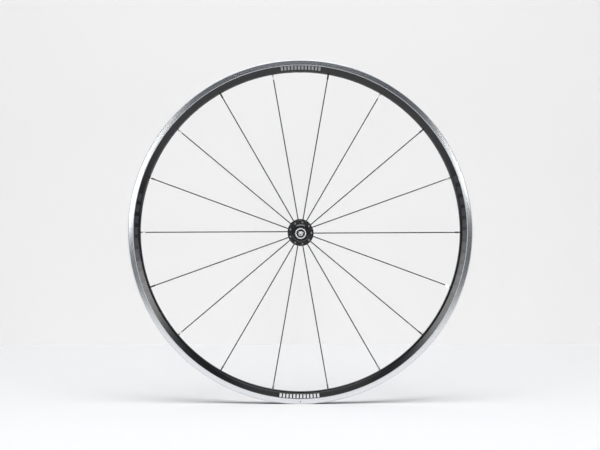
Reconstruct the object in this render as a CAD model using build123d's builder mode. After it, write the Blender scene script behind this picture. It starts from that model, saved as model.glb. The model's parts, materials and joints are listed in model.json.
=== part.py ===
from build123d import *
from math import cos, radians, sin, sqrt
import os

os.makedirs("parts", exist_ok=True)

# Front bicycle wheel with radial spokes, in millimetres.
# The origin is the wheel's centre, the axle runs along Y and Z points up.
# The right side of the wheel is at -Y, and the valve hole is at the top.

# Rim, a hollow alloy section for a tyre with hooked beads
TYRE_SEAT_DIAMETER = 622.0
HOOK_HEIGHT = 5.5
RIM_DEPTH = 22.5
RIM_WIDTH = 23.0
TRACK_HEIGHT = 9.4
TRACK_WALL = 1.6
HOOK_OVERHANG = 0.6
SEAT_WIDTH = 3.2
SEAT_WALL = 1.3
WELL_DEPTH = 4.0
WELL_SLOPE = 1.6
WELL_WALL = 1.0
SPOKE_BED_WALL = 2.0
NOSE_WIDTH = 7.0
NOSE_HEIGHT = 3.5
BELLY_WIDTH = 17.2
BELLY_WALL = 1.2
VALVE_HOLE_DIAMETER = 6.5
ACCESS_HOLE_DIAMETER = 8.0
WEAR_DIMPLE_DIAMETER = 2.2
WEAR_DIMPLE_DEPTH = 0.8
WEAR_DIMPLE_DROP = 4.5

# Tape over the access holes in the tyre well
TAPE_THICKNESS = 0.6
TAPE_MARGIN = 0.4

# Spokes and nipples
SPOKE_COUNT = 18
SPOKE_DIAMETER = 2.0
SPOKE_HEAD_DIAMETER = 3.8
SPOKE_HEAD_HEIGHT = 1.2
SPOKE_HEAD_CHAMFER = 0.6
ELBOW_CUT = 0.9
NIPPLE_LENGTH = 14.0
NIPPLE_DIAMETER = 4.0
NIPPLE_FLATS = 3.25
NIPPLE_HEAD_DIAMETER = 6.0
NIPPLE_HEAD_HEIGHT = 3.0

# Hub shell
FLANGE_DIAMETER = 47.5
FLANGE_THICKNESS = 3.2
FLANGE_CHAMFER = 0.6
FLANGE_ROOT_DIAMETER = 33.0
HOLE_CIRCLE_DIAMETER = 39.0
WAIST_DIAMETER = 25.0
WAIST_LENGTH = 30.0
COLLAR_DIAMETER = 32.0
COLLAR_HEIGHT = 4.3
COLLAR_RECESS = 0.6
COLLAR_CHAMFER = 0.8
COLLAR_SLOPE_WIDTH = 2.0
COLLAR_SLOPE_DEPTH = 1.3
SHELL_BORE_DIAMETER = 20.0

# Sealed ball bearings, one in each end of the hub shell
BEARING_BORE = 12.0
BEARING_DIAMETER = 24.0
BEARING_WIDTH = 6.0
BALL_COUNT = 11
BALL_DIAMETER = 3.1
CAGE_WALL = 1.3
CAGE_THICKNESS = 0.4
SEAL_THICKNESS = 0.5
SEAL_RECESS = 0.25

# Axle tube and the end caps that sit in the fork
FORK_SPACING = 100.0
AXLE_SHOULDER_DIAMETER = 14.2
AXLE_TAIL = 3.0
CAP_LENGTH = 9.0
CAP_DIAMETER = 20.4
CAP_FOOT_DIAMETER = 14.2
CAP_FLARE = 2.4
CLAMP_RING_BORE = 15.0
CLAMP_GROOVE_DEPTH = 0.8
STUB_DIAMETER = 9.0
STUB_LENGTH = 4.5
SKEWER_BORE_DIAMETER = 5.2

# Clearances
PRESS_GAP = 0.02
RUNNING_GAP = 0.05
THREAD_GAP = 0.05
SPOKE_HOLE_GAP = 0.25
NIPPLE_HOLE_GAP = 0.2
ELBOW_GAP = 0.3
SPOKE_TIP_GAP = 1.0
CAGE_GAP = 0.1

# Small round stock that repeats with every spoke and ball is drawn with this many flats
SMALL_SIDES = 8
BALL_BAND_ANGLE = 45.0

SIDES = {"right": -1, "left": 1}

# Radii and places that follow from the sizes above
spoke_step = 360 / SPOKE_COUNT
spokes_a_side = SPOKE_COUNT // 2
seat_radius = TYRE_SEAT_DIAMETER / 2
rim_radius = seat_radius + HOOK_HEIGHT
rim_half = RIM_WIDTH / 2
well_radius = seat_radius - WELL_DEPTH
track_radius = rim_radius - TRACK_HEIGHT
nose_radius = rim_radius - RIM_DEPTH
belly_radius = nose_radius + NOSE_HEIGHT
bed_radius = nose_radius + SPOKE_BED_WALL
wall_half = rim_half - TRACK_WALL
seat_half = wall_half - SEAT_WIDTH
well_half = seat_half - WELL_SLOPE
clamp_face = FORK_SPACING / 2
bearing_outer = clamp_face - CAP_LENGTH
bearing_inner = bearing_outer - BEARING_WIDTH
bearing_middle = bearing_outer - BEARING_WIDTH / 2
collar_end = bearing_outer + COLLAR_RECESS
flange_outer = collar_end - COLLAR_HEIGHT
flange_inner = flange_outer - FLANGE_THICKNESS
pitch_radius = (BEARING_BORE + BEARING_DIAMETER) / 4
inner_race = pitch_radius - BALL_DIAMETER / 2 - RUNNING_GAP
outer_race = pitch_radius + BALL_DIAMETER / 2 + RUNNING_GAP
axle_end = bearing_outer + AXLE_TAIL

# Revolved profiles start halfway between two spokes, clear of every spoke hole
profile_plane = Plane.XY.rotated((0, spoke_step / 2, 0))

# Spoke line in its own plane, as distance from the axle and distance towards its flange
elbow = Vector(HOLE_CIRCLE_DIAMETER / 2, flange_inner - SPOKE_DIAMETER / 2 - ELBOW_GAP)
nipple_seat = Vector(bed_radius, 0)
spoke_direction = (nipple_seat - elbow).normalized()


def save(piece, name):
    """Label a finished piece and write it to its own file."""
    piece.part.label = name
    export_step(piece.part, f"parts/{name}.step")


def side_name(index):
    """Side of the hub that a spoke hooks into: the spokes take turns."""
    return "right" if index % 2 == 0 else "left"


def spoke_plane(index):
    """Plane of one spoke: X runs out from the axle and Y towards the spoke's own flange."""
    angle = radians(index * spoke_step)
    outwards = Vector(cos(angle), 0, sin(angle))
    sideways = Vector(0, SIDES[side_name(index)], 0)
    return Plane(origin=(0, 0, 0), x_dir=outwards, z_dir=outwards.cross(sideways))


def nipple_plane(index):
    """Plane across one nipple where it leaves the spoke bed, facing away from the hub."""
    plane = spoke_plane(index)
    direction = plane.from_local_coords(spoke_direction) - plane.origin
    return Plane(plane.from_local_coords(nipple_seat), x_dir=plane.z_dir, z_dir=direction)


def access_plane(index):
    """Plane across one access hole, on the floor of the tyre well above its nipple."""
    outwards = spoke_plane(index).x_dir
    return Plane(origin=outwards * well_radius, x_dir=(0, 1, 0), z_dir=outwards)


def axle_plane(side, distance):
    """Plane across the axle at a distance from the wheel's centre, facing outwards."""
    return Plane(origin=(0, side * distance, 0), x_dir=(1, 0, 0), z_dir=(0, side, 0))


def side_profile_plane(side):
    """Plane along the axle: X is the radius and Y the distance outwards on that side."""
    return Plane(origin=(0, 0, 0), x_dir=(1, 0, 0), z_dir=(0, 0, side))


def make_ring(side, start, width, inner_radius, outer_radius):
    """A plain ring round the axle, from its start outwards."""
    with BuildPart() as ring:
        with BuildSketch(axle_plane(side, start)):
            Circle(outer_radius)
            Circle(inner_radius, mode=Mode.SUBTRACT)
        extrude(amount=width)
    return ring


nipple_planes = [nipple_plane(index) for index in range(SPOKE_COUNT)]

# Rim
with BuildPart() as rim:
    with BuildSketch(profile_plane):
        with BuildLine():
            Polyline(
                (nose_radius, 0),
                (nose_radius, NOSE_WIDTH / 2),
                (belly_radius, BELLY_WIDTH / 2),
                (track_radius, rim_half),
                (rim_radius, rim_half),
                (rim_radius, wall_half - HOOK_OVERHANG),
                (seat_radius, wall_half),
                (seat_radius, seat_half),
                (well_radius, well_half),
                (well_radius, 0),
            )
            mirror(about=Plane.XZ)
        make_face()
        with BuildLine():
            Polyline(
                (bed_radius, 0),
                (bed_radius, NOSE_WIDTH / 2),
                (belly_radius, BELLY_WIDTH / 2 - BELLY_WALL),
                (seat_radius - SEAT_WALL, wall_half),
                (well_radius - WELL_WALL, well_half),
                (well_radius - WELL_WALL, 0),
            )
            mirror(about=Plane.XZ)
        make_face(mode=Mode.SUBTRACT)
    revolve(axis=Axis.Y)
    with BuildSketch(*nipple_planes):
        RegularPolygon(NIPPLE_DIAMETER / 2 + NIPPLE_HOLE_GAP, SMALL_SIDES, major_radius=False)
    extrude(amount=2 * SPOKE_BED_WALL, both=True, mode=Mode.SUBTRACT)
    with BuildSketch(*[access_plane(index) for index in range(SPOKE_COUNT)]):
        RegularPolygon(ACCESS_HOLE_DIAMETER / 2, SMALL_SIDES)
    extrude(amount=2 * WELL_WALL, both=True, mode=Mode.SUBTRACT)
    with BuildSketch(Plane.XY.offset(nose_radius - SPOKE_BED_WALL)):
        Circle(VALVE_HOLE_DIAMETER / 2)
    extrude(amount=RIM_DEPTH, mode=Mode.SUBTRACT)
    with BuildSketch(axle_plane(SIDES["right"], rim_half)):
        with Locations((0, WEAR_DIMPLE_DROP - rim_radius)):
            Circle(WEAR_DIMPLE_DIAMETER / 2)
    extrude(amount=-WEAR_DIMPLE_DEPTH, mode=Mode.SUBTRACT)
save(rim, "rim")

# Tape in the tyre well, over the access holes
with BuildPart() as rim_tape:
    with BuildSketch(profile_plane):
        with Locations((well_radius + PRESS_GAP + TAPE_THICKNESS / 2, 0)):
            Rectangle(TAPE_THICKNESS, 2 * (well_half - TAPE_MARGIN))
    revolve(axis=Axis.Y)
    with BuildSketch(Plane.XY.offset(nose_radius)):
        Circle(VALVE_HOLE_DIAMETER / 2)
    extrude(amount=RIM_DEPTH, mode=Mode.SUBTRACT)
save(rim_tape, "rim_tape")

# Hub shell
bearing_seat = BEARING_DIAMETER / 2 + PRESS_GAP
with BuildPart() as hub_shell:
    with BuildSketch(profile_plane):
        with BuildLine():
            Polyline(
                (WAIST_DIAMETER / 2, 0),
                (WAIST_DIAMETER / 2, WAIST_LENGTH / 2),
                (FLANGE_ROOT_DIAMETER / 2, flange_inner),
                (FLANGE_DIAMETER / 2, flange_inner),
                (FLANGE_DIAMETER / 2, flange_outer - FLANGE_CHAMFER),
                (FLANGE_DIAMETER / 2 - FLANGE_CHAMFER, flange_outer),
                (COLLAR_DIAMETER / 2, flange_outer),
                (COLLAR_DIAMETER / 2, collar_end - COLLAR_SLOPE_DEPTH),
                (COLLAR_DIAMETER / 2 - COLLAR_SLOPE_WIDTH, collar_end),
                (bearing_seat + COLLAR_CHAMFER, collar_end),
                (bearing_seat, collar_end - COLLAR_CHAMFER),
                (bearing_seat, bearing_inner),
                (SHELL_BORE_DIAMETER / 2, bearing_inner),
                (SHELL_BORE_DIAMETER / 2, 0),
            )
            mirror(about=Plane.XZ)
        make_face()
    revolve(axis=Axis.Y)
    for name, side in SIDES.items():
        with BuildSketch(Plane.XZ.offset(-side * flange_outer)):
            first_angle = 0 if name == "right" else spoke_step
            with PolarLocations(HOLE_CIRCLE_DIAMETER / 2, spokes_a_side, first_angle):
                RegularPolygon(SPOKE_DIAMETER / 2 + SPOKE_HOLE_GAP, SMALL_SIDES, major_radius=False)
        extrude(amount=2 * FLANGE_THICKNESS, both=True, mode=Mode.SUBTRACT)
save(hub_shell, "hub_shell")

# Spokes, hooked through the flanges with their heads outside
spoke_points = [
    Vector(elbow.X, flange_outer),
    elbow + Vector(0, ELBOW_CUT),
    elbow + spoke_direction * ELBOW_CUT,
    nipple_seat + spoke_direction * (NIPPLE_HEAD_HEIGHT - SPOKE_TIP_GAP),
]
for index in range(SPOKE_COUNT):
    plane = spoke_plane(index)
    with BuildPart() as spoke:
        with BuildLine() as spoke_line:
            Polyline([plane.from_local_coords(point) for point in spoke_points])
        head_seat = spoke_line.line @ 0
        with BuildSketch(Plane(head_seat, x_dir=plane.z_dir, z_dir=-plane.y_dir)):
            RegularPolygon(SPOKE_DIAMETER / 2, SMALL_SIDES)
        sweep(transition=Transition.RIGHT)
        with BuildSketch(Plane(head_seat, x_dir=plane.z_dir, z_dir=plane.y_dir)):
            RegularPolygon(SPOKE_HEAD_DIAMETER / 2, SMALL_SIDES)
        extrude(amount=SPOKE_HEAD_HEIGHT)
        head_top = spoke.faces().sort_by(Axis(head_seat, plane.y_dir))[-1]
        chamfer(head_top.edges(), SPOKE_HEAD_CHAMFER)
    save(spoke, f"spoke_{side_name(index)}_{index // 2 + 1:02d}")

# One nipple, with its head's seat at the origin and its wrench flats below
nipple_corner_cut = (NIPPLE_FLATS - sqrt(NIPPLE_DIAMETER**2 - NIPPLE_FLATS**2)) / 2
with BuildPart() as nipple:
    with BuildSketch():
        RegularPolygon(NIPPLE_HEAD_DIAMETER / 2, SMALL_SIDES)
    extrude(amount=NIPPLE_HEAD_HEIGHT)
    chamfer(nipple.faces().sort_by(Axis.Z)[0].edges(), (NIPPLE_HEAD_DIAMETER - NIPPLE_DIAMETER) / 2)
    with BuildSketch() as wrench_flats:
        Rectangle(NIPPLE_FLATS, NIPPLE_FLATS)
        chamfer(wrench_flats.vertices(), nipple_corner_cut)
    extrude(amount=NIPPLE_HEAD_HEIGHT - NIPPLE_LENGTH)
    with BuildSketch():
        RegularPolygon(SPOKE_DIAMETER / 2 + THREAD_GAP, SMALL_SIDES, major_radius=False)
    extrude(amount=NIPPLE_LENGTH, both=True, mode=Mode.SUBTRACT)

# All the nipples, screwed on the spokes and seated in the spoke bed
with BuildPart() as spoke_nipples:
    with Locations(*nipple_planes):
        add(nipple.part)
save(spoke_nipples, "spoke_nipples")

# Axle tube, with a shoulder between the two bearings
axle_radius = BEARING_BORE / 2 - PRESS_GAP
with BuildPart() as axle:
    with BuildSketch(profile_plane):
        with BuildLine():
            Polyline(
                (SKEWER_BORE_DIAMETER / 2, 0),
                (SKEWER_BORE_DIAMETER / 2, axle_end),
                (axle_radius, axle_end),
                (axle_radius, bearing_inner),
                (AXLE_SHOULDER_DIAMETER / 2, bearing_inner),
                (AXLE_SHOULDER_DIAMETER / 2, 0),
            )
            mirror(about=Plane.XZ)
        make_face()
    revolve(axis=Axis.Y)
save(axle, "axle")

# One bearing ball, which every ball set repeats
ball_radius = BALL_DIAMETER / 2
ball_band = ball_radius * sin(radians(BALL_BAND_ANGLE / 2))
ball_band_radius = ball_radius * cos(radians(BALL_BAND_ANGLE / 2))
with BuildPart() as ball:
    with BuildSketch():
        RegularPolygon(ball_band_radius, SMALL_SIDES)
    extrude(amount=ball_band)
    extrude(ball.faces().sort_by(Axis.Z)[-1], amount=ball_band_radius - ball_band, taper=BALL_BAND_ANGLE)
    mirror(about=Plane.XY)

# Bearings and end caps, the same on both sides
seal_bore = inner_race + RUNNING_GAP
seal_radius = outer_race - PRESS_GAP
inner_seal_start = bearing_inner + SEAL_RECESS
outer_seal_start = bearing_outer - SEAL_RECESS - SEAL_THICKNESS
for name, side in SIDES.items():
    inner_ring = make_ring(side, bearing_inner, BEARING_WIDTH, BEARING_BORE / 2, inner_race)
    save(inner_ring, f"bearing_inner_ring_{name}")

    outer_ring = make_ring(side, bearing_inner, BEARING_WIDTH, outer_race, BEARING_DIAMETER / 2)
    save(outer_ring, f"bearing_outer_ring_{name}")

    inner_seal = make_ring(side, inner_seal_start, SEAL_THICKNESS, seal_bore, seal_radius)
    save(inner_seal, f"bearing_inner_seal_{name}")

    outer_seal = make_ring(side, outer_seal_start, SEAL_THICKNESS, seal_bore, seal_radius)
    save(outer_seal, f"bearing_outer_seal_{name}")

    with BuildPart(axle_plane(side, bearing_middle)) as bearing_balls:
        with PolarLocations(pitch_radius, BALL_COUNT):
            add(ball.part)
    save(bearing_balls, f"bearing_balls_{name}")

    with BuildPart() as ball_cage:
        with BuildSketch(axle_plane(side, bearing_middle + BALL_DIAMETER / 2 + CAGE_GAP)):
            RegularPolygon(pitch_radius + CAGE_WALL / 2, BALL_COUNT)
            RegularPolygon(pitch_radius - CAGE_WALL / 2, BALL_COUNT, mode=Mode.SUBTRACT)
        extrude(amount=CAGE_THICKNESS)
    save(ball_cage, f"ball_cage_{name}")

    with BuildPart() as end_cap:
        with BuildSketch(side_profile_plane(side)):
            with BuildLine():
                Polyline(
                    (BEARING_BORE / 2, bearing_outer),
                    (CAP_FOOT_DIAMETER / 2, bearing_outer),
                    (CAP_DIAMETER / 2, bearing_outer + CAP_FLARE),
                    (CAP_DIAMETER / 2, clamp_face),
                    (CLAMP_RING_BORE / 2, clamp_face),
                    (CLAMP_RING_BORE / 2, clamp_face - CLAMP_GROOVE_DEPTH),
                    (STUB_DIAMETER / 2, clamp_face - CLAMP_GROOVE_DEPTH),
                    (STUB_DIAMETER / 2, clamp_face + STUB_LENGTH),
                    (SKEWER_BORE_DIAMETER / 2, clamp_face + STUB_LENGTH),
                    (SKEWER_BORE_DIAMETER / 2, axle_end + PRESS_GAP),
                    (BEARING_BORE / 2, axle_end + PRESS_GAP),
                    close=True,
                )
            make_face()
        revolve(axis=Axis.Y)
    save(end_cap, f"end_cap_{name}")
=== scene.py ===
# %% [markdown]
# # A front bicycle wheel, finished around its CAD frame
# The CAD frame gives every piece of the wheel its place and its size: a hollow alloy rim, a tape in its
# tyre well, wire spokes with nipples, and a hub that turns on two ball bearings. It draws small rounds
# with flats and has one plain colour for each piece. This lesson makes each piece again with the
# roundings, bends and finishes of the real one, in the same place and at the same size. The frame comes
# first, because all the sizes that follow are set against it.

# %% Load the CAD frame
import bmesh
import bpy
import json
from math import atan2, cos, pi, radians, sin, tan, tau
from mathutils import Matrix, Vector


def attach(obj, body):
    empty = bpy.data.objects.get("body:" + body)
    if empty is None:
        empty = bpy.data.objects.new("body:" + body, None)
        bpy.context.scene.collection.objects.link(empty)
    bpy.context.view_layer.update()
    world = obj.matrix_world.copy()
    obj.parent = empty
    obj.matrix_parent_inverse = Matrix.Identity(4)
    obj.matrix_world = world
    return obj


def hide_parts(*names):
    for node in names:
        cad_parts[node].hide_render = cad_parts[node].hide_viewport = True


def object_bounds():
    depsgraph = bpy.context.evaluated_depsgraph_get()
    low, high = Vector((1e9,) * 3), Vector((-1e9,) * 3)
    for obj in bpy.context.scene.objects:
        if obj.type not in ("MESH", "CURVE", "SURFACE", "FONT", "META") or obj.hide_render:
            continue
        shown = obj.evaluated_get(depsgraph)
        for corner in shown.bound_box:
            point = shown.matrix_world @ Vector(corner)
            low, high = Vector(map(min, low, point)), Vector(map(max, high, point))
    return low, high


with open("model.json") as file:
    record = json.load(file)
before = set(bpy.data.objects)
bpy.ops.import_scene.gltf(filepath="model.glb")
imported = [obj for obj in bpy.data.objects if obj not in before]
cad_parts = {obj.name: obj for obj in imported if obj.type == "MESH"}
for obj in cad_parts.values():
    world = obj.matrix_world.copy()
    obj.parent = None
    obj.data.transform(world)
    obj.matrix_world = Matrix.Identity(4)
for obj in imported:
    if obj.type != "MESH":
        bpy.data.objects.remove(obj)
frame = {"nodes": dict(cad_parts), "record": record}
cad_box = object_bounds()
MM = 0.001
cad_size = [round(side / MM, 1) for side in cad_box[1] - cad_box[0]]
print("CAD pieces:", len(frame["nodes"]), "in a box of", cad_size, "mm")

# %% [markdown]
# ## Paint and metal
# Every finish on the wheel starts from one shader with the values of its real material. Colours are
# written as hex values, the way a paint chart gives them, and Blender computes with linear light, so one
# function turns the first into the second. Another adds a single node and links it, which keeps each
# recipe short.

# %% Helpers for materials
def linear(hex_colour):
    """Turn an sRGB hex colour into Blender's linear colour."""
    values = [int(hex_colour[i:i + 2], 16) / 255 for i in (1, 3, 5)]
    return [v / 12.92 if v <= 0.04045 else ((v + 0.055) / 1.055) ** 2.4 for v in values] + [1.0]


def add_node(material, kind, inputs=None, **settings):
    """Add one node: settings are its own choices, and inputs are plain values or other nodes' sockets."""
    tree = material.node_tree
    node = tree.nodes.new(kind)
    for key, value in settings.items():
        setattr(node, key, value)
    for key, value in (inputs or {}).items():
        if isinstance(value, bpy.types.NodeSocket):
            tree.links.new(value, node.inputs[key])
        else:
            node.inputs[key].default_value = value
    return node


def new_finish(name, colour, metallic, roughness, **more):
    """A material with one shader. It returns the material and the shader, for patterns to be linked to."""
    material = bpy.data.materials.new(name)
    material.use_nodes = True
    shader = material.node_tree.nodes["Principled BSDF"]
    shader.inputs["Base Color"].default_value = linear(colour)
    shader.inputs["Metallic"].default_value = metallic
    shader.inputs["Roughness"].default_value = roughness
    for key, value in more.items():
        shader.inputs[key.replace("_", " ")].default_value = value
    return material, shader


print("a black of #141517 is", [round(v, 4) for v in linear("#141517")])

# %% [markdown]
# ## Traces of the tools
# No real surface is quite even. A blasted, coated or moulded one has a fine grain, and a turned one has
# rings round its axle. Both are drawn as a little relief and a roughness that varies with it. The grain
# is a noise in space. For the rings the noise sees only two values, the distance from the axle and the
# place along it, so it can't change round the turn. Modelled grooves would need millions of faces for the
# same look. Real grain and rings are 0.05 to 0.2 mm wide, and are drawn at 0.25 to 0.8 mm, to show in a
# close view.

# %% Grain and turning rings
NOISE_LOW, NOISE_HIGH = 0.25, 0.75  # most of a noise lies between these values


def emboss(material, shader, height, depth, uneven):
    """Use a pattern as relief of a depth in mm, and let the roughness vary with it."""
    bump = add_node(material, "ShaderNodeBump", {"Height": height, "Distance": depth * MM})
    middle = shader.inputs["Roughness"].default_value
    rough = add_node(material, "ShaderNodeMapRange", {
        "Value": height, "From Min": NOISE_LOW, "From Max": NOISE_HIGH,
        "To Min": middle - uneven, "To Max": middle + uneven})
    material.node_tree.links.new(bump.outputs["Normal"], shader.inputs["Normal"])
    material.node_tree.links.new(rough.outputs[0], shader.inputs["Roughness"])


def fine_grain(material, shader, size, depth, uneven):
    """Grain of a size in mm, the same in all directions."""
    where = add_node(material, "ShaderNodeTexCoord").outputs["Object"]
    grain = add_node(material, "ShaderNodeTexNoise", {"Vector": where, "Scale": 1 / (size * MM)})
    emboss(material, shader, grain.outputs["Fac"], depth, uneven)


def turning_rings(material, shader, pitch, depth, uneven):
    """Rings round the axle, which lies along Y, with a pitch in mm."""
    where = add_node(material, "ShaderNodeTexCoord").outputs["Object"]
    across = add_node(material, "ShaderNodeVectorMath", {0: where, 1: (1, 0, 1)}, operation="MULTIPLY")
    distance = add_node(material, "ShaderNodeVectorMath", {0: across.outputs[0]}, operation="LENGTH")
    along = add_node(material, "ShaderNodeSeparateXYZ", {"Vector": where})
    place = add_node(material, "ShaderNodeCombineXYZ", {
        "X": distance.outputs["Value"], "Y": along.outputs["Y"]})
    rings = add_node(material, "ShaderNodeTexNoise", {
        "Vector": place.outputs["Vector"], "Scale": 1 / (pitch * MM)}, noise_dimensions="2D")
    emboss(material, shader, rings.outputs["Fac"], depth, uneven)


print("tool traces ready")

# %% [markdown]
# ## Drawing an outline
# A turned piece starts as the outline of its section. By hand one would add a plane, merge it to a single
# point and extrude that from corner to corner, and the script does the same. Points are selected by their
# place. At the end doubled points are merged and the faces turned outwards, because a spin can leave both
# wrong.

# %% Start, select and close
WELD = 0.0015  # points closer than this, in mm, are one point
SHARP_FROM = 30  # edges that bend by more degrees than this stay sharp


def start_point(name, place):
    """A new piece, in edit mode, that is a single selected point."""
    bpy.ops.object.select_all(action="DESELECT")
    bpy.ops.mesh.primitive_plane_add(size=MM, location=place)
    piece = bpy.context.object
    piece.name = name
    bpy.ops.object.transform_apply(location=True, rotation=True, scale=True)
    bpy.ops.object.mode_set(mode="EDIT")
    bpy.ops.mesh.select_all(action="SELECT")
    bpy.ops.mesh.merge(type="CENTER")
    return piece


def select_points(piece, wanted):
    """In edit mode, select the points whose place passes the test, and nothing else."""
    bpy.ops.mesh.select_mode(type="VERT")
    bpy.ops.mesh.select_all(action="DESELECT")
    mesh = bmesh.from_edit_mesh(piece.data)
    for point in mesh.verts:
        point.select = wanted(point.co)
    mesh.select_flush(True)
    bmesh.update_edit_mesh(piece.data)


def close_piece(piece, sharp_from=SHARP_FROM):
    """Merge doubles, turn the faces outwards, leave edit mode and smooth what isn't a sharp edge."""
    bpy.ops.mesh.select_all(action="SELECT")
    bpy.ops.mesh.remove_doubles(threshold=WELD * MM)
    bpy.ops.mesh.normals_make_consistent(inside=False)
    bpy.ops.object.mode_set(mode="OBJECT")
    bpy.ops.object.shade_smooth_by_angle(angle=radians(sharp_from))
    return piece


print("outline tools ready")

# %% [markdown]
# ## A lathe
# Rim, hub, axle, caps and bearing rings are all turned or rolled round one axis, so one tool makes them.
# It closes the outline, rounds the corners with a vertex bevel, and spins it round the axle. A primitive
# ring that is cut and scaled would also do, but an outline keeps every radius readable.

# %% A lathe for closed outlines
def turn_on_lathe(name, corners, steps, arc_steps=3):
    """Turn a closed outline round the axle. A corner is (radius, place along the axle, rounding) in mm."""
    points = [Vector((radius, along, 0)) * MM for radius, along, _ in corners]
    near = 0.001 * MM
    piece = start_point(name, points[0])
    for here, there in zip(points, points[1:]):
        bpy.ops.mesh.extrude_region_move(TRANSFORM_OT_translate={"value": there - here})
    ends = (points[0], points[-1])
    select_points(piece, lambda co: min((co - end).length for end in ends) < near)
    bpy.ops.mesh.edge_face_add()
    for rounding in sorted({corner[2] for corner in corners} - {0}):
        rounded = [point for point, corner in zip(points, corners) if corner[2] == rounding]
        select_points(piece, lambda co: min((co - point).length for point in rounded) < near)
        bpy.ops.mesh.bevel(offset=rounding * MM, segments=arc_steps, affect="VERTICES")
    bpy.ops.mesh.select_all(action="SELECT")
    bpy.ops.mesh.spin(steps=steps, angle=tau, center=(0, 0, 0), axis=(0, 1, 0))
    return close_piece(piece)


def both_sides(half):
    """A whole outline from its half on the +Y side, which starts and ends near the middle."""
    return half + [(radius, -along, rounding) for radius, along, rounding in reversed(half)]


print("lathe ready")

# %% [markdown]
# ## Cutting
# Hollows and holes are taken out of a solid piece with a Boolean modifier, in Blender as with a cutter in
# the workshop. Where a cut passes close to a point it leaves a sliver, so close points are merged after
# it.

# %% Cut one piece with another
SLIVER = 0.005  # what a cut leaves below this size, in mm, is merged away


def choose(*pieces):
    """Select these pieces alone, the first of them active."""
    bpy.ops.object.select_all(action="DESELECT")
    for piece in pieces:
        piece.select_set(True)
    bpy.context.view_layer.objects.active = pieces[0]


def combine(piece, other, how):
    """Apply a Boolean of another piece, which is then used up."""
    modifier = piece.modifiers.new("combine", "BOOLEAN")
    modifier.operation = how
    modifier.solver = "EXACT"
    modifier.object = other
    choose(piece)
    bpy.ops.object.modifier_apply(modifier=modifier.name)
    bpy.data.objects.remove(other)
    bpy.ops.object.mode_set(mode="EDIT")
    bpy.ops.mesh.select_all(action="SELECT")
    bpy.ops.mesh.remove_doubles(threshold=SLIVER * MM)
    bpy.ops.mesh.dissolve_degenerate(threshold=SLIVER * MM)
    bpy.ops.object.mode_set(mode="OBJECT")


print("cutting ready")

# %% [markdown]
# ## The rim
# The rim is an aluminium extrusion rolled into a hoop. Outside it has two flat brake tracks, and below
# them a belly that narrows to the spoke bed. Between the walls lies the tyre well with two seats, and
# under it a hollow. The hoop is turned as one closed outline, and the hollow as a second one that is cut
# out of it. 240 steps keep the hoop round at this size, with steps of about 8 mm.

# %% Turn the rim
RIM_STEPS = 240
TRACK_FOOT, RIM_EDGE, RIM_HALF = 307.1, 316.5, 11.5
SPOKE_BED, BED_FLOOR, WELL_FLOOR = 294.0, 296.0, 307.0
FOOT, LIP = 0.5, 1.2  # roundings at the two edges of the brake track
rim_half_outline = [
    (SPOKE_BED, 3.5, 1.2),
    (296.8, 8.4, 0.8),
    (TRACK_FOOT, RIM_HALF, FOOT),
    (RIM_EDGE, RIM_HALF, LIP),
    (RIM_EDGE, 9.3, 0.6),
    (311.0, 9.9, 0.4),
    (311.0, 6.7, 0.6),
    (WELL_FLOOR, 5.1, 0.6),
]
hollow_half_outline = [
    (BED_FLOOR, 3.5, 0.5),
    (297.5, 7.4, 0.8),
    (309.7, 9.9, 0.25),
    (306.0, 5.1, 0.3),
]
rim = turn_on_lathe("finished_rim", both_sides(rim_half_outline), RIM_STEPS)
hollow = turn_on_lathe("rim_hollow", both_sides(hollow_half_outline), RIM_STEPS)
combine(rim, hollow, "DIFFERENCE")
print("rim faces after hollowing:", len(rim.data.polygons))

# %% [markdown]
# ## Where the spokes stand
# Eighteen spokes run straight out from the hub and hook into its two flanges by turns. Seen edge-on they
# lean from the flanges to the middle of the rim, so a nipple and its hole lean as well. All of that
# follows from a few sizes: a piece is modelled once, upright at the origin, and a matrix brings it to its
# place.

# %% Find the spokes' places
SPOKES = 18
FLANGE_OUTER, FLANGE_INNER = 37.3, 34.1
HOLE_CIRCLE = 19.5
ELBOW_DEPTH = 1.3
ELBOW_ALONG = FLANGE_INNER - ELBOW_DEPTH
TILT = atan2(ELBOW_ALONG, BED_FLOOR - HOLE_CIRCLE)


def spoke_turn(index):
    """Turn about the axle that brings +X to this spoke's direction."""
    return Matrix.Rotation(-index * tau / SPOKES, 4, "Y")


def spoke_side(index):
    """Spokes take turns: even ones hook into the right flange, at -Y, and odd ones into the left."""
    return -1 if index % 2 == 0 else 1


def stand_out(index, radius):
    """Move a piece that stands on the origin along +Z to a spoke's radius, pointing outwards."""
    return spoke_turn(index) @ Matrix.Translation((radius * MM, 0, 0)) @ Matrix.Rotation(pi / 2, 4, "Y")


def along_spoke(index):
    """The same on the spoke bed, leaning along the spoke."""
    return stand_out(index, BED_FLOOR) @ Matrix.Rotation(spoke_side(index) * TILT, 4, "X")


print("spokes lean by", round(TILT * 180 / pi, 2), "degrees")

# %% [markdown]
# ## Drills
# A drill is a cylinder that stands where the hole will be. A primitive is enough for it, since the cut
# uses it up. Many drills are joined into one piece, so that the slow Boolean runs only once. The valve's
# drill has its own function, because the rim and later the tape need the same hole.

# %% Drills
VALVE_HOLE, VALVE_PLACE = 3.25, 300.0
THROUGH = 20.0  # a drill that reaches this far, in mm, goes through both walls


def drill(radius, length, matrix, sides=24):
    """A round cutter along +Z of the matrix, from its origin both ways, in mm."""
    bpy.ops.object.select_all(action="DESELECT")
    bpy.ops.mesh.primitive_cylinder_add(vertices=sides, radius=radius * MM, depth=2 * length * MM)
    cutter = bpy.context.object
    cutter.data.transform(matrix)
    return cutter


def valve_drill():
    """A cutter for the valve hole at the top of the wheel."""
    return drill(VALVE_HOLE, THROUGH, Matrix.Translation((0, 0, VALVE_PLACE * MM)), sides=32)


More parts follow.
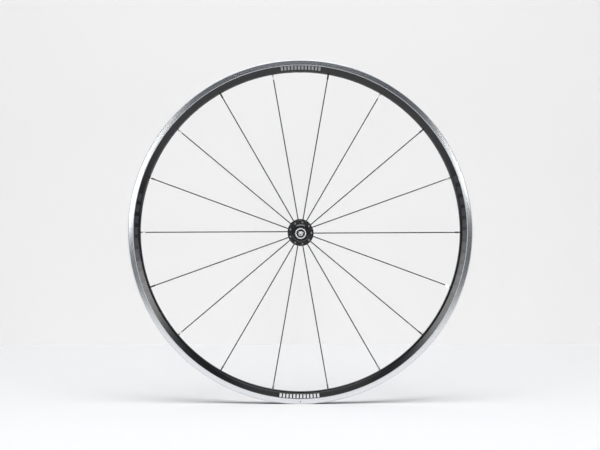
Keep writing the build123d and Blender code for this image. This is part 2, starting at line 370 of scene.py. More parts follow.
def join(pieces, name):
    """Join pieces into one."""
    choose(*pieces)
    bpy.ops.object.join()
    bpy.context.object.name = name
    return bpy.context.object


print("the valve hole is", 2 * VALVE_HOLE, "mm wide")

# %% [markdown]
# ## Holes in the rim
# Each nipple stands in a hole through the spoke bed. Above it an access hole in the tyre well lets the
# nipple in, and the tape covers it later. At the top a valve hole goes through both walls. In the right
# brake track, at the bottom, a small dimple shows how far the wall may wear.

# %% Drill the rim
NIPPLE_HOLE, ACCESS_HOLE = 2.2, 4.0
DIMPLE, DIMPLE_DEPTH, DIMPLE_DROP = 1.1, 0.8, 4.5
cutters = [valve_drill()]
for index in range(SPOKES):
    cutters.append(drill(NIPPLE_HOLE, length=4, matrix=along_spoke(index)))
    cutters.append(drill(ACCESS_HOLE, length=2, matrix=stand_out(index, WELL_FLOOR), sides=32))
dimple_place = Matrix.Translation(Vector((0, -RIM_HALF, DIMPLE_DROP - RIM_EDGE)) * MM)
cutters.append(drill(DIMPLE, DIMPLE_DEPTH, dimple_place @ Matrix.Rotation(pi / 2, 4, "X")))
combine(rim, join(cutters, "rim_cutters"), "DIFFERENCE")
print("rim faces after drilling:", len(rim.data.polygons))

# %% [markdown]
# ## The wrap round the rim
# Turning rings and printed marks follow the hoop, so the rim gets a UV map of its own: U runs once round
# the wheel and V is the distance from the axle, in metres. Unwrapping by hand would need a seam to be
# picked, but here both values are known for every corner, so they are written directly. U starts between
# two marks.

# %% Wrap the rim
SEAM = radians(45)


def from_axle(point):
    """Distance of a point from the axle."""
    return Vector((point.x, point.z)).length


def wrap_round(piece, name, across):
    """UV map with U as turns round the axle from the seam, and V in metres as across gives it."""
    mesh = piece.data
    layer = mesh.uv_layers.new(name=name)
    for face in mesh.polygons:
        middle = (atan2(face.center.z, face.center.x) - SEAM) % tau
        for loop in face.loop_indices:
            point = mesh.vertices[mesh.loops[loop].vertex_index].co
            step = (atan2(point.z, point.x) - SEAM - middle + pi) % tau - pi
            layer.data[loop].uv = ((middle + step) / tau, across(point))


wrap_round(rim, "rim_wrap", from_axle)
print("corners wrapped:", len(rim.data.loops))

# %% [markdown]
# ## The faced track
# The brake track is bare aluminium that a lathe tool faced off after the rim was blackened. The tool
# leaves fine rings, and these stretch every reflection across them, which is what makes one part of the
# track white and another dark. A shader does that with anisotropy, along a direction that the wrap gives.
# Grooves drawn with bump alone would only glitter at this distance.

# %% Face the track
# Faced aluminium: bright, with reflections drawn out across the tool's rings.
turned_track, track_shader = new_finish("aluminium_faced_brake_track", "#EAECEE", 1.0, 0.185,
                                        Anisotropic=0.75, Anisotropic_Rotation=0.25)
track_tangent = add_node(turned_track, "ShaderNodeTangent", direction_type="UV_MAP", uv_map="rim_wrap")
turned_track.node_tree.links.new(track_tangent.outputs["Tangent"], track_shader.inputs["Tangent"])
# The tool moves on by about 0.15 mm in each turn. The rings are drawn at 0.4 mm, to show in a close view.
TRACK_RINGS = 0.4
track_uv = add_node(turned_track, "ShaderNodeUVMap", uv_map="rim_wrap")
track_wrap = add_node(turned_track, "ShaderNodeSeparateXYZ", {"Vector": track_uv.outputs["UV"]})
track_rings = add_node(turned_track, "ShaderNodeTexNoise", {
    "W": track_wrap.outputs["Y"], "Scale": 1 / (TRACK_RINGS * MM)}, noise_dimensions="1D")
ring_colour = add_node(turned_track, "ShaderNodeMix", {
    0: track_rings.outputs["Fac"], 6: linear("#D6D9DC"), 7: linear("#FBFCFD")}, data_type="RGBA")
turned_track.node_tree.links.new(ring_colour.outputs[2], track_shader.inputs["Base Color"])
# The track's two edges are bare too, but broken and not faced: dull grey lines round the wheel.
bare_edge, edge_shader = new_finish("aluminium_bare_edge", "#CFD1D4", 1.0, 0.5)
fine_grain(bare_edge, edge_shader, size=0.4, depth=0.004, uneven=0.06)
print("nodes in the track's metal:", len(turned_track.node_tree.nodes))

# %% [markdown]
# ## Black, with plain marks on the belly
# Black anodising is a dyed oxide, so it mirrors like a hard varnish and not like bare metal, with the
# grain of the blasted metal under it. Such rims carry printed marks on the belly. Here these are rows of
# plain bars: short light ones at the top and bottom, and longer ones in dark satin ink at the sides. The
# top and bottom rows are one ink, and the bottom row's lighter colour is a painted highlight for the light
# from above. The wrap gives their place: a fast sawtooth of U makes the bars, a comparison of U picks the
# sectors, and one of V keeps the ink on the belly. Bars cut as geometry would be too thick for ink.

# %% Blacken the rim and print the marks
RIM_BLACK = "#141517"
MARK_PLACE, MARK_HALF = 302.2, 3.4
# Black anodised aluminium: near black, with a soft satin sheen. A blasted grain of 0.1 mm is drawn at 0.8 mm.
black_rim, black_rim_shader = new_finish("aluminium_black_anodised_rim", RIM_BLACK, 0.0, 0.17)
fine_grain(black_rim, black_rim_shader, size=0.8, depth=0.005, uneven=0.04)
rim_uv = add_node(black_rim, "ShaderNodeUVMap", uv_map="rim_wrap")
rim_wrap = add_node(black_rim, "ShaderNodeSeparateXYZ", {"Vector": rim_uv.outputs["UV"]})
turns, radius = rim_wrap.outputs["X"], rim_wrap.outputs["Y"]
belly = add_node(black_rim, "ShaderNodeMath", {0: radius, 1: MARK_PLACE * MM, 2: MARK_HALF * MM},
                 operation="COMPARE")
colour = linear(RIM_BLACK)
# Ink, bars that would fill a whole turn, inked share of a bar, first bar that is printed and number of bars.
# The top and bottom rows are one ink: the bottom row's lighter colour is a painted highlight for the light
# from above on the belly there.
for ink, bars, share, first, count in (
    ("#9A9C9F", 303, 0.62, 32, 12),
    ("#D8D9DB", 301, 0.62, 182, 12),
    ("#34363A", 92, 0.66, 31, 10),
    ("#34363A", 92, 0.66, 75, 11),
):
    half = (count - 1 + share) / 2 / bars
    middle = first / bars + half
    fast = add_node(black_rim, "ShaderNodeMath", {0: turns, 1: bars}, operation="MULTIPLY")
    sawtooth = add_node(black_rim, "ShaderNodeMath", {0: fast.outputs[0]}, operation="FRACT")
    row = add_node(black_rim, "ShaderNodeMath", {0: sawtooth.outputs[0], 1: share}, operation="LESS_THAN")
    sector = add_node(black_rim, "ShaderNodeMath", {0: turns, 1: middle, 2: half}, operation="COMPARE")
    place = add_node(black_rim, "ShaderNodeMath", {
        0: sector.outputs[0], 1: belly.outputs[0]}, operation="MULTIPLY")
    mask = add_node(black_rim, "ShaderNodeMath", {
        0: row.outputs[0], 1: place.outputs[0]}, operation="MULTIPLY")
    mix = add_node(black_rim, "ShaderNodeMix", {
        0: mask.outputs[0], 6: colour, 7: linear(ink)}, data_type="RGBA")
    colour = mix.outputs[2]
black_rim.node_tree.links.new(colour, black_rim_shader.inputs["Base Color"])
print("nodes in the rim's black:", len(black_rim.node_tree.nodes))

# %% [markdown]
# ## Three finishes on one rim
# The whole rim is black, and the brake tracks and their edges are bare, so its faces are sorted by their
# place. A smooth shade would blend the flat belly into its rounded edges. Weighted normals let the large
# faces win, so that the belly mirrors as the flat cone that it is. A piece that is done takes the place
# of its CAD node, which is hidden, and rides on the body that the node belongs to.

# %% Finish the rim
SORTING_ROOM = 0.1  # how far, in mm, a face may lie off a wall and still count as part of it
body_of = {node: body for body, nodes in frame["record"]["behaviour"]["bodies"].items() for node in nodes}


def fit(piece, node, *finishes):
    """Give a finished piece its materials, body and slot, in place of its CAD node."""
    for finish in finishes:
        piece.data.materials.append(finish)
    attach(piece, body_of[node])
    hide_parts(node)


def smooth_cut_piece(piece):
    """Smooth a piece that was cut, keep its sharp edges, and let large faces set the shading."""
    choose(piece)
    bpy.ops.object.shade_smooth_by_angle(angle=radians(SHARP_FROM))
    modifier = piece.modifiers.new("large_faces_win", "WEIGHTED_NORMAL")
    modifier.keep_sharp = True
    bpy.ops.object.modifier_apply(modifier=modifier.name)


smooth_cut_piece(rim)
fit(rim, "rim", black_rim, turned_track, bare_edge)
for face in rim.data.polygons:
    distance, side = from_axle(face.center) / MM, abs(face.center.y) / MM
    on_track = distance > TRACK_FOOT and side > RIM_HALF - SORTING_ROOM
    on_foot = abs(distance - TRACK_FOOT) < FOOT and side > RIM_HALF - FOOT
    on_lip = distance > RIM_EDGE - LIP and side > RIM_HALF - LIP
    face.material_index = 2 if on_foot or on_lip else int(on_track)
finish_of_faces = [face.material_index for face in rim.data.polygons]
print("faces on the brake tracks:", finish_of_faces.count(1), "and on their edges:", finish_of_faces.count(2))

# %% [markdown]
# ## The tape
# A strip of woven nylon lies in the tyre well and keeps the inner tube off the access holes. It is turned
# like the rim, with the valve hole cut through. Its weave of about 0.4 mm is drawn at 1.2 mm, coarse
# enough to show in a close view. A wrap round the tape, unrolled to metres, keeps the threads square.

# %% Lay the tape
TAPE_INSIDE, TAPE_OUTSIDE, TAPE_HALF = 307.02, 307.62, 4.7
WEAVE = 1.2
tape_half_outline = [(TAPE_INSIDE, TAPE_HALF, 0.1), (TAPE_OUTSIDE, TAPE_HALF, 0.2)]
tape = turn_on_lathe("finished_rim_tape", both_sides(tape_half_outline), RIM_STEPS)
combine(tape, valve_drill(), "DIFFERENCE")
wrap_round(tape, "tape_wrap", lambda point: point.y)
# Woven nylon: dark grey and dull, with threads that stand up in turn.
nylon_tape, tape_shader = new_finish("nylon_tape_woven", "#26282B", 0.0, 0.75)
tape_uv = add_node(nylon_tape, "ShaderNodeUVMap", uv_map="tape_wrap")
unrolled = add_node(nylon_tape, "ShaderNodeVectorMath", {
    0: tape_uv.outputs["UV"], 1: (tau * TAPE_OUTSIDE * MM, 1, 1)}, operation="MULTIPLY")
threads = add_node(nylon_tape, "ShaderNodeTexChecker", {
    "Vector": unrolled.outputs[0], "Scale": 1 / (WEAVE * MM),
    "Color1": linear("#2B2D31"), "Color2": linear("#1F2123")})
nylon_tape.node_tree.links.new(threads.outputs["Color"], tape_shader.inputs["Base Color"])
emboss(nylon_tape, tape_shader, threads.outputs["Fac"], depth=0.05, uneven=0.05)
fit(tape, "rim_tape", nylon_tape)
print("tape faces:", len(tape.data.polygons))

# %% [markdown]
# ## The hub shell
# The hub shell is turned from one bar: a slim waist, two flanges that carry the spokes, and outside each
# flange a collar round the bearing. The waist runs into the flanges in long cones with soft corners. Nine
# holes in each flange are drilled with the same cutter, turned round the axle.

# %% Turn and drill the hub shell
HUB_STEPS = 96
FLANGE_EDGE, FLANGE_HOLE = 23.75, 1.25
BEARING_INNER, BEARING_OUTER = 35.0, 41.0
hub_half_outline = [
    (12.5, 15.0, 6.0),
    (16.5, FLANGE_INNER, 0.8),
    (FLANGE_EDGE, FLANGE_INNER, 0.7),
    (FLANGE_EDGE, FLANGE_OUTER, 0.6),
    (16.0, FLANGE_OUTER, 0.5),
    (16.0, 40.3, 0.3),
    (14.0, 41.6, 0.3),
    (12.82, 41.6, 0.0),
    (12.02, 40.8, 0.0),
    (12.02, BEARING_INNER, 0.0),
    (10.0, BEARING_INNER, 0.3),
]
hub = turn_on_lathe("finished_hub_shell", both_sides(hub_half_outline), HUB_STEPS, arc_steps=4)
cutters = []
for index in range(SPOKES):
    middle = spoke_side(index) * (FLANGE_INNER + FLANGE_OUTER) / 2
    in_flange = Matrix.Translation(Vector((HOLE_CIRCLE, middle, 0)) * MM) @ Matrix.Rotation(pi / 2, 4, "X")
    cutters.append(drill(FLANGE_HOLE, length=3, matrix=spoke_turn(index) @ in_flange))
combine(hub, join(cutters, "hub_cutters"), "DIFFERENCE")
smooth_cut_piece(hub)
# Black anodised aluminium, turned and not blasted: darker than the rim, with rings of 0.2 mm drawn at 0.8 mm.
black_hub, hub_shader = new_finish("aluminium_black_anodised_hub", "#101011", 0.0, 0.24, IOR=1.6)
turning_rings(black_hub, hub_shader, pitch=0.8, depth=0.006, uneven=0.06)
fit(hub, "hub_shell", black_hub)
print("hub faces:", len(hub.data.polygons))

# %% [markdown]
# ## Pulling a ring
# Wire and nipple heads grow from a ring of points, the way a loop of edges is pulled out by hand with E
# and S: extrude it by a step, then scale it about its centre. These two moves get a short name each.

# %% Push and scale a ring
def push(x, y, z=0):
    """Extrude what is selected, by a step in mm."""
    bpy.ops.mesh.extrude_region_move(TRANSFORM_OT_translate={"value": (x * MM, y * MM, z * MM)})


def scale_ring(factor, centre):
    """Scale what is selected about a point."""
    bpy.ops.transform.resize(value=(factor, factor, factor), center_override=centre)


print("ring moves ready")

# %% [markdown]
# ## The spokes
# A spoke is one piece of 2 mm wire. A press forms a round head at one end and bends the wire close under
# it, and the other end is threaded into the nipple. The piece is drawn in that order: a ring of points is
# the edge of the head, extrusions and scaling form the head and the neck, a spin makes the bend, and one
# long extrusion makes the wire. A curve with a bevel would be quicker, but its head would need a second
# piece.

# %% Draw one spoke for each side
WIRE, HEAD, HEAD_HEIGHT, HEAD_TOP = 1.0, 1.9, 1.2, 0.9
BEND = 2.0
TIP, TIP_BEVEL, TIP_SHARE = 1.7, 0.3, 0.75


def draw_spoke(side):
    """One spoke along +X that hooks into the flange on this side."""
    reach, size = FLANGE_OUTER + HEAD_HEIGHT, HEAD_TOP
    bpy.ops.object.select_all(action="DESELECT")
    bpy.ops.mesh.primitive_circle_add(vertices=16, radius=size * MM, rotation=(pi / 2, 0, 0),
                                      location=Vector((HOLE_CIRCLE, side * reach, 0)) * MM)
    spoke = bpy.context.object
    bpy.ops.object.transform_apply(location=True, rotation=True, scale=True)
    bpy.ops.object.mode_set(mode="EDIT")
    bpy.ops.mesh.select_all(action="SELECT")
    # The radius of each next ring, and the step down to it.
    for new_size, drop in ((1.5, 0.18), (1.8, 0.35), (HEAD, 0.30), (HEAD, 0.37), (WIRE, 0.0)):
        push(0, -side * drop)
        reach -= drop
        scale_ring(new_size / size, Vector((HOLE_CIRCLE, side * reach, 0)) * MM)
        size = new_size
    bend_angle = pi / 2 - TILT
    tangent = BEND * tan(bend_angle / 2)
    bend_start = ELBOW_ALONG + tangent
    push(0, -side * (reach - bend_start))
    centre = Vector((HOLE_CIRCLE + BEND, side * bend_start, 0)) * MM
    bpy.ops.mesh.spin(steps=8, angle=bend_angle, center=centre, axis=(0, 0, side))
    length = (BED_FLOOR - HOLE_CIRCLE) / cos(TILT) - tangent + TIP
    push(length * cos(TILT), -side * length * sin(TILT))
    push(TIP_BEVEL * cos(TILT), -side * TIP_BEVEL * sin(TILT))
    scale_ring(TIP_SHARE, Vector((BED_FLOOR + TIP * cos(TILT), -side * TIP * sin(TILT), 0)) * MM)
    bpy.ops.mesh.select_all(action="SELECT")
    bpy.ops.mesh.fill_holes(sides=0)
    return close_piece(spoke, sharp_from=40)


patterns = {side: draw_spoke(side) for side in (-1, 1)}
print("spoke reaches", [round(v / MM, 2) for v in patterns[1].dimensions], "mm")

# %% [markdown]
# ## Eighteen spokes
# The two patterns are copied round the hub. A copy has its own mesh, and the turn goes into the mesh, so
# every object stays at the origin. The wire is coated black before the press forms the head, which breaks
# the coat there, so the faces outside the flange get the bare metal.

# %% Lace the wheel
def copy_to(piece, name, matrix):
    """A copy with its own mesh, moved in the mesh and not as an object."""
    copy = piece.copy()
    copy.data = piece.data.copy()
    copy.name = name
    copy.data.transform(matrix)
    bpy.context.scene.collection.objects.link(copy)
    return copy


# Stainless wire with a black coating: near black, with a narrow streak of light and a slight grain.
black_wire, wire_shader = new_finish("stainless_spoke_wire_black", "#0A0B0C", 0.0, 0.40)
fine_grain(black_wire, wire_shader, size=0.8, depth=0.006, uneven=0.08)
# Stainless steel from the press: grey and a little rough.
bare_head, head_shader = new_finish("stainless_spoke_head_pressed", "#8E9093", 1.0, 0.34)
fine_grain(bare_head, head_shader, size=0.5, depth=0.008, uneven=0.08)
for index in range(SPOKES):
    side = spoke_side(index)
    node = f"spoke_{'right' if side < 0 else 'left'}_{index // 2 + 1:02d}"
    spoke = copy_to(patterns[side], f"finished_{node}", spoke_turn(index))
    fit(spoke, node, black_wire, bare_head)
    for face in spoke.data.polygons:
        face.material_index = int(abs(face.center.y) > (FLANGE_OUTER + SORTING_ROOM) * MM)
for pattern in patterns.values():
    bpy.data.objects.remove(pattern)
print("spokes laced:", SPOKES)

# %% [markdown]
# ## A nipple's barrel
# A nipple is a long nut: a square barrel for the key, with its corners turned round, and a round head
# that seats in the rim. The barrel starts as a cube of its size, whose long edges are bevelled, and then
# the edges of its end.

# %% Shape the barrel
BARREL, FLATS, OVERLAP = 11.0, 3.25, 1.0
LONG_EDGE, END_EDGE = 0.47, 0.3
bpy.ops.object.select_all(action="DESELECT")
bpy.ops.mesh.primitive_cube_add(size=1, location=(0, 0, (OVERLAP - BARREL) / 2 * MM))
nipple = bpy.context.object
nipple.scale = (FLATS * MM, FLATS * MM, (BARREL + OVERLAP) * MM)
bpy.ops.object.transform_apply(location=True, rotation=True, scale=True)
bpy.ops.object.mode_set(mode="EDIT")
mesh = bmesh.from_edit_mesh(nipple.data)
for edge in mesh.edges:
    ends = [point.co for point in edge.verts]
    edge.select = abs(ends[0].z - ends[1].z) > MM
mesh.select_flush_mode()
bmesh.update_edit_mesh(nipple.data)
bpy.ops.mesh.bevel(offset=LONG_EDGE * MM, segments=3, affect="EDGES")
select_points(nipple, lambda co: co.z < (SORTING_ROOM - BARREL) * MM)
bpy.ops.mesh.bevel(offset=END_EDGE * MM, segments=2, affect="EDGES")
close_piece(nipple)
print("barrel faces:", len(nipple.data.polygons))

# %% [markdown]
# ## The head, and eighteen nipples
# The head is a circle that is extruded and scaled from its neck to its flat top. It is joined to the
# barrel with a Boolean, because both must be one closed piece, and bored through. Copies then go along
# their spokes.

# %% Add the head and copy the nipple
NECK, BORE = 1.9, 1.05
bpy.ops.object.select_all(action="DESELECT")
bpy.ops.mesh.primitive_circle_add(vertices=32, radius=NECK * MM)
head = bpy.context.object
bpy.ops.object.mode_set(mode="EDIT")
bpy.ops.mesh.select_all(action="SELECT")
size, rise = NECK, 0.0
# The radius of each next ring, and the step up to it.
head_rings = ((2.0, 0.05), (2.6, 0.45), (2.95, 0.5), (3.0, 0.4), (3.0, 0.9), (2.7, 0.45), (1.9, 0.25))
for new_size, step in head_rings:
    push(0, 0, step)
    rise += step
    scale_ring(new_size / size, (0, 0, rise * MM))
    size = new_size
bpy.ops.mesh.select_all(action="SELECT")
bpy.ops.mesh.fill_holes(sides=0)
close_piece(head)
combine(nipple, head, "UNION")
combine(nipple, drill(BORE, THROUGH, Matrix.Identity(4), sides=16), "DIFFERENCE")
copies = [copy_to(nipple, f"nipple_{index}", along_spoke(index)) for index in range(SPOKES)]
bpy.data.objects.remove(nipple)
nipples = join(copies, "finished_spoke_nipples")
bpy.ops.object.shade_smooth_by_angle(angle=radians(35))
# Brass under nickel plate: a warm bright silver, barrel-polished and so a little uneven.
nickel_plate, nickel_shader = new_finish("brass_nickel_plated", "#DDDAD4", 1.0, 0.22)
fine_grain(nickel_plate, nickel_shader, size=0.8, depth=0.008, uneven=0.08)
fit(nipples, "spoke_nipples", nickel_plate)
print("nipple faces:", len(nipples.data.polygons))

# %% [markdown]
# ## The axle
# The axle is a tube with a shoulder between the two bearings. Almost all of it is hidden, but it is
# turned like the rest, with broken edges, so that the wheel is whole when it is opened up.

# %% Turn the axle
TURN_STEPS = 64
SKEWER_BORE, AXLE_END = 2.6, 44.0
axle_half_outline = [
    (SKEWER_BORE, AXLE_END, 0.2),
    (5.98, AXLE_END, 0.3),
    (5.98, BEARING_INNER, 0.0),
    (7.1, BEARING_INNER, 0.25),
]
axle = turn_on_lathe("finished_axle", both_sides(axle_half_outline), TURN_STEPS)
# Turned aluminium without a coating: bright, with rings of 0.15 mm drawn at 0.5 mm.
bare_alloy, alloy_shader = new_finish("aluminium_turned", "#E6E7E9", 1.0, 0.16)
turning_rings(bare_alloy, alloy_shader, pitch=0.5, depth=0.001, uneven=0.04)
fit(axle, "axle", bare_alloy)
print("axle faces:", len(axle.data.polygons))

# %% [markdown]
# ## The end caps
# A cap closes each end of the hub. Its outer ring is clamped by the fork, and a stub with a bore for the
# skewer sits in the fork's slot. The cap is blackened first, and the ring's face, the stub and its bore
# are then turned bare. So the piece has two materials, and its faces are sorted by their place.

# %% Turn the end caps
CLAMP_FACE, GROOVE_FLOOR, STUB, STUB_END = 50.0, 49.2, 4.5, 54.5
CAP_EDGE, CAP_GAP = 0.35, 0.02


def sided(outline, side):
    """An outline for the +Y side, or the same one on the other side."""
    return [(radius, side * along, rounding) for radius, along, rounding in outline]


cap_outline = [
    (6.0, BEARING_OUTER, 0.0),
    (7.1, BEARING_OUTER, 0.2),
    (10.2, 43.4, 0.5),
    (10.2, CLAMP_FACE, CAP_EDGE),
    (7.5, CLAMP_FACE, 0.25),
    (7.5, GROOVE_FLOOR, 0.0),
    (STUB, GROOVE_FLOOR, 0.0),
    (STUB, STUB_END, 0.25),
    (SKEWER_BORE, STUB_END, 0.15),
    (SKEWER_BORE, AXLE_END + CAP_GAP, 0.0),
    (6.0, AXLE_END + CAP_GAP, 0.0),
]
for name, side in (("right", -1), ("left", 1)):
    cap = turn_on_lathe(f"finished_end_cap_{name}", sided(cap_outline, side), TURN_STEPS)
    smooth_cut_piece(cap)
    fit(cap, f"end_cap_{name}", black_hub, bare_alloy)
    for face in cap.data.polygons:
        distance, along = from_axle(face.center) / MM, abs(face.center.y) / MM
        on_ring = along > CLAMP_FACE - CAP_EDGE
        on_stub = distance < STUB + SORTING_ROOM and along > GROOVE_FLOOR + SORTING_ROOM
        in_bore = distance < SKEWER_BORE + SORTING_ROOM
        face.material_index = int(on_ring or on_stub or in_bore)
    print("cap", name, "bare faces:", sum(face.material_index for face in cap.data.polygons))

# %% [markdown]
# ## The bearing rings
# Each bearing has two ground rings, a row of balls in a pressed cage, and a rubber seal on either side.
# Only the outer seal and the edge of the blackened outer ring show, as a dark gap round the cap. The
# rings are turned with broken edges.

# %% Turn the bearing rings
# Bearing steel, ground and left bare inside: a soft grey shine. The rings of the wheel are drawn at 0.25 mm.
ground_steel, ground_shader = new_finish("bearing_steel_ground", "#B9BABC", 1.0, 0.30)
turning_rings(ground_steel, ground_shader, pitch=0.25, depth=0.001, uneven=0.05)
# The same steel with black oxide: dull, dark and slightly uneven.
black_steel, oxide_shader = new_finish("bearing_steel_black_oxide", "#0B0B0C", 0.0, 0.5)
turning_rings(black_steel, oxide_shader, pitch=0.25, depth=0.001, uneven=0.08)
inner_ring = [(6.0, BEARING_INNER, 0.25), (7.4, BEARING_INNER, 0.15), (7.4, BEARING_OUTER, 0.15),
              (6.0, BEARING_OUTER, 0.25)]
outer_ring = [(10.6, BEARING_INNER, 0.15), (12.0, BEARING_INNER, 0.3), (12.0, BEARING_OUTER, 0.3),
              (10.6, BEARING_OUTER, 0.15)]
for name, side in (("right", -1), ("left", 1)):
    for kind, outline, finish in (("inner", inner_ring, ground_steel), ("outer", outer_ring, black_steel)):
        ring = turn_on_lathe(f"finished_bearing_{kind}_ring_{name}", sided(outline, side), TURN_STEPS)
        fit(ring, f"bearing_{kind}_ring_{name}", finish)
print("faces of one ring:", len(ring.data.polygons))

# %% [markdown]
# ## Seals and cages
# A seal is a rubber disc with a shallow groove round it, so that it can give. A cage is a ring that is
# pressed from thin strip and keeps the balls apart. Both are turned from small outlines: the groove is
# four more corners.

# %% Turn seals and cages
# Nitrile rubber, moulded: black and dull, with the fine grain of the mould.
seal_rubber, rubber_shader = new_finish("nitrile_rubber_moulded", "#0E0E0F", 0.0, 0.65)
fine_grain(seal_rubber, rubber_shader, size=0.3, depth=0.006, uneven=0.08)
# Steel strip from the press: a plain grey shine.
pressed_steel, strip_shader = new_finish("steel_strip_pressed", "#A9A8A4", 1.0, 0.40)
fine_grain(pressed_steel, strip_shader, size=0.4, depth=0.002, uneven=0.06)
SEAL_INSET, SEAL, CAGE_STEPS = 0.25, 0.5, 44
SEAL_DIP = 0.4  # depth of the groove, as a share of the seal
seal_faces = (("inner", BEARING_INNER + SEAL_INSET, 1), ("outer", BEARING_OUTER - SEAL_INSET, -1))
cage_outline = [(8.37, 39.65, 0.08), (9.62, 39.65, 0.08), (9.62, 40.05, 0.08), (8.37, 40.05, 0.08)]
for name, side in (("right", -1), ("left", 1)):
    for kind, face, inwards in seal_faces:
        back = face + inwards * SEAL
        dip = face + (back - face) * SEAL_DIP
        seal_outline = [(7.45, back, 0.05), (10.58, back, 0.05), (10.58, face, 0.1), (10.0, face, 0.1),
                        (9.7, dip, 0.1), (8.4, dip, 0.1), (8.1, face, 0.1), (7.45, face, 0.1)]
        seal = turn_on_lathe(f"finished_bearing_{kind}_seal_{name}", sided(seal_outline, side), TURN_STEPS)
        fit(seal, f"bearing_{kind}_seal_{name}", seal_rubber)
    cage = turn_on_lathe(f"finished_ball_cage_{name}", sided(cage_outline, side), CAGE_STEPS)
    fit(cage, f"ball_cage_{name}", pressed_steel)
print("faces of one seal:", len(seal.data.polygons), "and of one cage:", len(cage.data.polygons))

# %% [markdown]
# ## The balls
# A ball is pressed from wire and then ground round. Here a cube is cut into small squares and blown up to
# a sphere, which spreads its points more evenly than a globe with poles. Eleven copies stand in a ring in
# each bearing.

# %% Make a ball and copy it
BALLS, BALL, PITCH = 11, 1.55, 9.0
BALL_ALONG = (BEARING_INNER + BEARING_OUTER) / 2
bpy.ops.object.select_all(action="DESELECT")
bpy.ops.mesh.primitive_cube_add(size=2 * BALL * MM)
ball = bpy.context.object
bpy.ops.object.mode_set(mode="EDIT")
bpy.ops.mesh.select_all(action="SELECT")
bpy.ops.mesh.subdivide(number_cuts=7)
bpy.ops.transform.tosphere(value=1.0)
mesh = bmesh.from_edit_mesh(ball.data)
swell = BALL * MM / max(point.co.length for point in mesh.verts)
bpy.ops.transform.resize(value=(swell, swell, swell), center_override=(0, 0, 0))
close_piece(ball)
# Bearing steel, polished: a clear mirror with the faintest waves.
polished_steel, ball_shader = new_finish("bearing_steel_polished", "#C9CACC", 1.0, 0.08)
fine_grain(polished_steel, ball_shader, size=0.8, depth=0.0004, uneven=0.02)
for name, side in (("right", -1), ("left", 1)):
    place = Matrix.Translation(Vector((PITCH, side * BALL_ALONG, 0)) * MM)
    ring = [copy_to(ball, f"ball_{index}", Matrix.Rotation(index * tau / BALLS, 4, "Y") @ place)
            for index in range(BALLS)]
    balls = join(ring, f"finished_bearing_balls_{name}")
    fit(balls, f"bearing_balls_{name}", polished_steel)
print("ball size", [round(v / MM, 3) for v in ball.dimensions], "mm")
bpy.data.objects.remove(ball)

# %% [markdown]
# ## The studio
# The wheel stands upright on a pale floor in front of a pale wall. A metal with turning rings shows what
# stands around it, so the room beyond the floor is dim, and that is what makes the top of the track dark.
# Floor and wall fade out at a distance, so no edge of them shows from any side. A fade in the material is
# simpler to tune than a modelled sweep.

# %% Lay the floor
# Places and sizes in the room are in metres.
FLOOR, WALL = -RIM_EDGE * MM, 1.03
# The second value is where the floor's painted shade begins, in metres along Y.
STAGE_SIZE, PAINTED_SHADE_FROM = 5.0, -0.3
PAPER_WHITE = "#FAFAFB"


def fade_out(material, shader, near, far):
    """Let a material turn see-through between two distances from the object's origin, in metres."""
    where = add_node(material, "ShaderNodeTexCoord").outputs["Object"]
    distance = add_node(material, "ShaderNodeVectorMath", {0: where}, operation="LENGTH").outputs["Value"]
    fade = add_node(material, "ShaderNodeMapRange", {"Value": distance, "From Min": near, "From Max": far})
    clear = add_node(material, "ShaderNodeBsdfTransparent").outputs["BSDF"]
    mixed = add_node(material, "ShaderNodeMixShader", {0: fade.outputs[0], 1: shader.outputs[0], 2: clear})
    surface = material.node_tree.nodes["Material Output"].inputs["Surface"]
    material.node_tree.links.new(mixed.outputs[0], surface)
    return mixed


def stage_plane(name, place, rotation, material):
    """A square, flat piece of the room."""
    bpy.ops.object.select_all(action="DESELECT")
    bpy.ops.mesh.primitive_plane_add(size=STAGE_SIZE, location=place, rotation=rotation)
    plane = bpy.context.object
    plane.name = name
    plane.data.materials.append(material)


# Paper with a painted shade: its colour darkens towards the wall, so that floor and wall meet in almost the
# same tone.
white_floor, floor_shader = new_finish("paper_floor_white_painted_shade", PAPER_WHITE, 0.0, 0.9)
fade_out(white_floor, floor_shader, near=1.5, far=2.4)
floor_place = add_node(white_floor, "ShaderNodeTexCoord").outputs["Object"]
floor_depth = add_node(white_floor, "ShaderNodeSeparateXYZ", {"Vector": floor_place}).outputs["Y"]
# The mix from the paper's white to #E6E6E7 along the floor is painted shade, darkest at the wall.
painted_shade_to_wall = add_node(white_floor, "ShaderNodeMapRange", {
    "Value": floor_depth, "From Min": PAINTED_SHADE_FROM, "From Max": WALL})
paper_with_painted_shade = add_node(white_floor, "ShaderNodeMix", {
    0: painted_shade_to_wall.outputs[0], 6: linear(PAPER_WHITE), 7: linear("#E6E6E7")}, data_type="RGBA")
white_floor.node_tree.links.new(paper_with_painted_shade.outputs[2], floor_shader.inputs["Base Color"])
stage_plane("floor", (0, 0, FLOOR), (0, 0, 0), white_floor)
print("floor", round(-FLOOR / MM, 1), "mm under the axle")

# %% [markdown]
# ## The wall
# The wall is a second plane with a fade of its own. It is one-sided: a Backfacing test makes it clear
# from behind, so that the wheel can be looked at from there too.

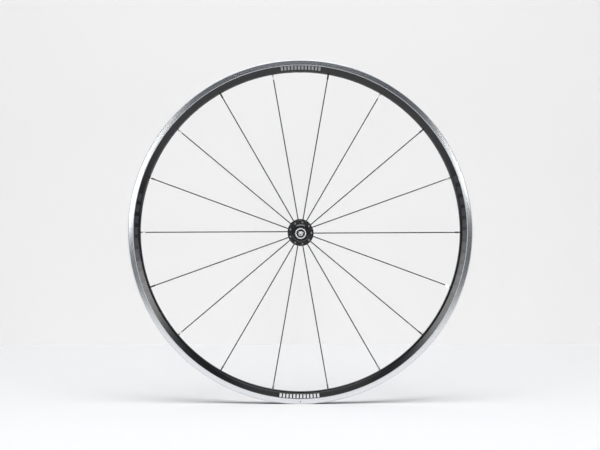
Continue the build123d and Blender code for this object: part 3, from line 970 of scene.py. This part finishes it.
# %% Hang the wall
# Cloth: a soft warm white without gloss.
white_wall, wall_shader = new_finish("cloth_wall_white", "#F8F7F6", 0.0, 0.9)
faded = fade_out(white_wall, wall_shader, near=1.3, far=2.3)
behind = add_node(white_wall, "ShaderNodeNewGeometry").outputs["Backfacing"]
clear = add_node(white_wall, "ShaderNodeBsdfTransparent").outputs["BSDF"]
one_sided = add_node(white_wall, "ShaderNodeMixShader", {0: behind, 1: faded.outputs[0], 2: clear})
wall_output = white_wall.node_tree.nodes["Material Output"]
white_wall.node_tree.links.new(one_sided.outputs[0], wall_output.inputs["Surface"])
stage_plane("wall", (0, WALL, FLOOR), (pi / 2, 0, 0), white_wall)
print("wall", round(WALL / MM), "mm behind the wheel")

# %% [markdown]
# ## The room beyond
# The camera sees a pale backdrop where floor and wall have faded out. Everything else sees a dim and
# slightly blue room, which gives the dark part of the track its cool tone. A Light Path node tells the
# two apart.

# %% Dim the room
world = bpy.data.worlds.new("studio")
bpy.context.scene.world = world
world.use_nodes = True
backdrop = world.node_tree.nodes["Background"]
backdrop.inputs["Color"].default_value = linear("#F2F3F4")
dim_room = add_node(world, "ShaderNodeBackground", {"Color": linear("#CFE2FF"), "Strength": 0.055})
seen = add_node(world, "ShaderNodeLightPath").outputs["Is Camera Ray"]
room = add_node(world, "ShaderNodeMixShader", {0: seen, 1: dim_room.outputs[0], 2: backdrop.outputs[0]})
world.node_tree.links.new(room.outputs["Shader"], world.node_tree.nodes["World Output"].inputs["Surface"])
print("world nodes:", len(world.node_tree.nodes))

# %% [markdown]
# ## The lamps
# A wide lamp high over the wheel lights floor and wall. From the track it stands almost overhead, so it
# doesn't show there. Two soft boxes left and right of the camera put the bright parts on the track and a
# sheen on the belly, a flat one above the camera lifts the belly at the bottom, and a small one in front
# lights the faces that look straight at the camera.

# %% Place the lamps
def soft_light(name, power, size, place, target=(0, 0, 0)):
    """A flat soft box that faces a point."""
    light = bpy.data.lights.new(name, "AREA")
    light.energy = power
    light.shape = "RECTANGLE"
    light.size, light.size_y = size
    lamp = bpy.data.objects.new(name, light)
    lamp.location = place
    lamp.rotation_euler = (Vector(target) - Vector(place)).to_track_quat("-Z", "Y").to_euler()
    bpy.context.scene.collection.objects.link(lamp)


# Power in watts, then width and height, place and target in metres.
soft_light("lamp_overhead", 286, (5, 3.8), (0, -2.0, 4.4), (0, 0.2, 0))
soft_light("soft_box_left", 9.0, (0.5, 0.80), (-1.02, -3.0, 0.32))
soft_light("soft_box_right", 6.3, (0.5, 0.48), (1.15, -3.0, 0.325))
soft_light("soft_box_top", 1.1, (1.1, 0.22), (0, -3.0, 1.13))
soft_light("soft_box_low", 0.35, (0.32, 0.26), (0.04, -3.15, -0.11))
print("lamps:", len(bpy.data.lights))

# %% [markdown]
# ## The camera
# The photograph looks almost along the axle, from a little above and a touch from the left, with a long
# lens from about three metres. The centre of the wheel lies just below the middle of the picture, so the
# camera aims at a point above it. The lens follows from the width that the picture has at the wheel.

# %% Set the camera
DISTANCE, PICTURE_WIDTH, SENSOR = 3.0, 1.1066, 36.0
LOOK_LEFT, LOOK_DOWN = radians(0.57), radians(2.1)
AIM = Vector((-0.0008, 0, 0.0136))
camera_data = bpy.data.cameras.new("camera")
camera_data.sensor_width = SENSOR
camera_data.lens = SENSOR * DISTANCE / PICTURE_WIDTH
camera = bpy.data.objects.new("camera", camera_data)
camera.location = DISTANCE * Vector((-sin(LOOK_LEFT) * cos(LOOK_DOWN), -cos(LOOK_LEFT) * cos(LOOK_DOWN),
                                     sin(LOOK_DOWN)))
camera.rotation_euler = (AIM - camera.location).to_track_quat("-Z", "Y").to_euler()
bpy.context.scene.collection.objects.link(camera)
bpy.context.scene.camera = camera
bpy.context.scene.view_settings.view_transform = "Standard"
print("lens", round(camera_data.lens, 1), "mm")
